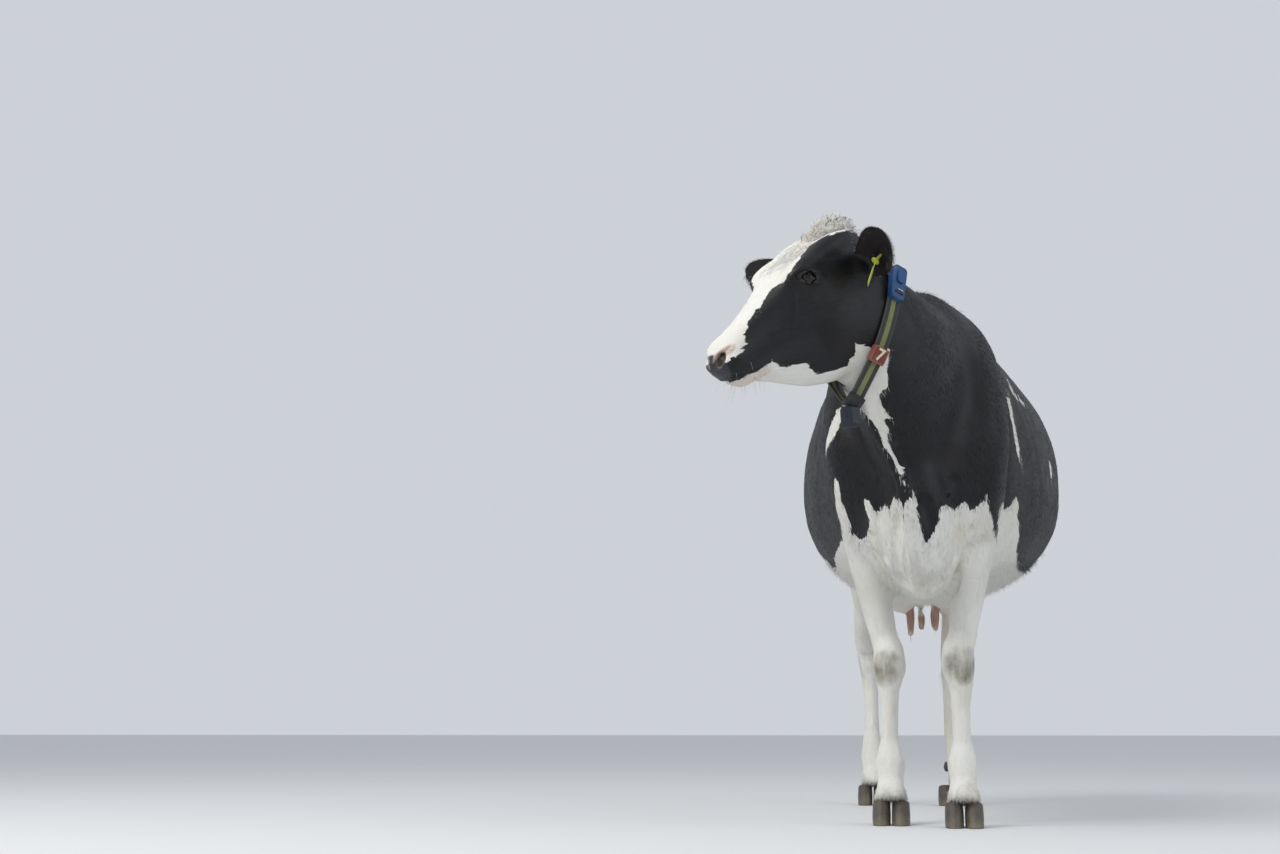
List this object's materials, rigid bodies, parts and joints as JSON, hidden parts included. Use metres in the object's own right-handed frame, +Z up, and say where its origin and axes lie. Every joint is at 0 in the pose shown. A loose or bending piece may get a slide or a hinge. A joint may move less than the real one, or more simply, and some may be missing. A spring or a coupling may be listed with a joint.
{
  "type": "cow",
  "caption": "Life-size still model of a black and white dairy cow that stands with its head turned to its right, wearing a neck collar and a flag ear tag.",
  "frame": {"origin": "middle of the bounding box on the floor the cow stands on", "axes": "+Z up, -Y the way the body faces, +X the cow's own left side"},
  "size_m": [0.9448, 2.3764, 1.5709],
  "materials": {
    "black_coat": "hide with short flat hair, black; the markings are part of the looks",
    "white_coat": "hide with short flat hair, white; the markings are part of the looks",
    "udder_skin": "bare soft skin",
    "teat_skin": "bare soft skin",
    "horn": "hoof horn, satin",
    "eye": "wet and glossy",
    "strap_webbing": "woven band",
    "transponder_plastic": "satin",
    "number_plastic": "satin",
    "keeper_plastic": "satin",
    "weight_plastic": "satin",
    "tag_plastic": "satin"
  },
  "bodies": {
    "root": {"head": "black_coat", "neck": "black_coat", "trunk": "black_coat", "tail": "white_coat", "udder": "udder_skin", "foreleg_left": "white_coat", "foreleg_right": "white_coat", "hindleg_left": "white_coat", "hindleg_right": "white_coat", "ear_left": "black_coat", "ear_right": "black_coat", "eye_left": "eye", "eye_right": "eye", "teat_front_left": "teat_skin", "teat_front_right": "teat_skin", "teat_rear_left": "teat_skin", "teat_rear_right": "teat_skin", "claw_fore_left_outer": "horn", "claw_fore_left_inner": "horn", "claw_fore_right_outer": "horn", "claw_fore_right_inner": "horn", "claw_hind_left_outer": "horn", "claw_hind_left_inner": "horn", "claw_hind_right_outer": "horn", "claw_hind_right_inner": "horn", "dewclaw_fore_left_outer": "horn", "dewclaw_fore_left_inner": "horn", "dewclaw_fore_right_outer": "horn", "dewclaw_fore_right_inner": "horn", "dewclaw_hind_left_outer": "horn", "dewclaw_hind_left_inner": "horn", "dewclaw_hind_right_outer": "horn", "dewclaw_hind_right_inner": "horn", "collar_strap": "strap_webbing", "collar_transponder": "transponder_plastic", "collar_number": "number_plastic", "collar_keeper": "keeper_plastic", "collar_weight": "weight_plastic", "ear_tag": "tag_plastic"}
  },
  "joints": []
}
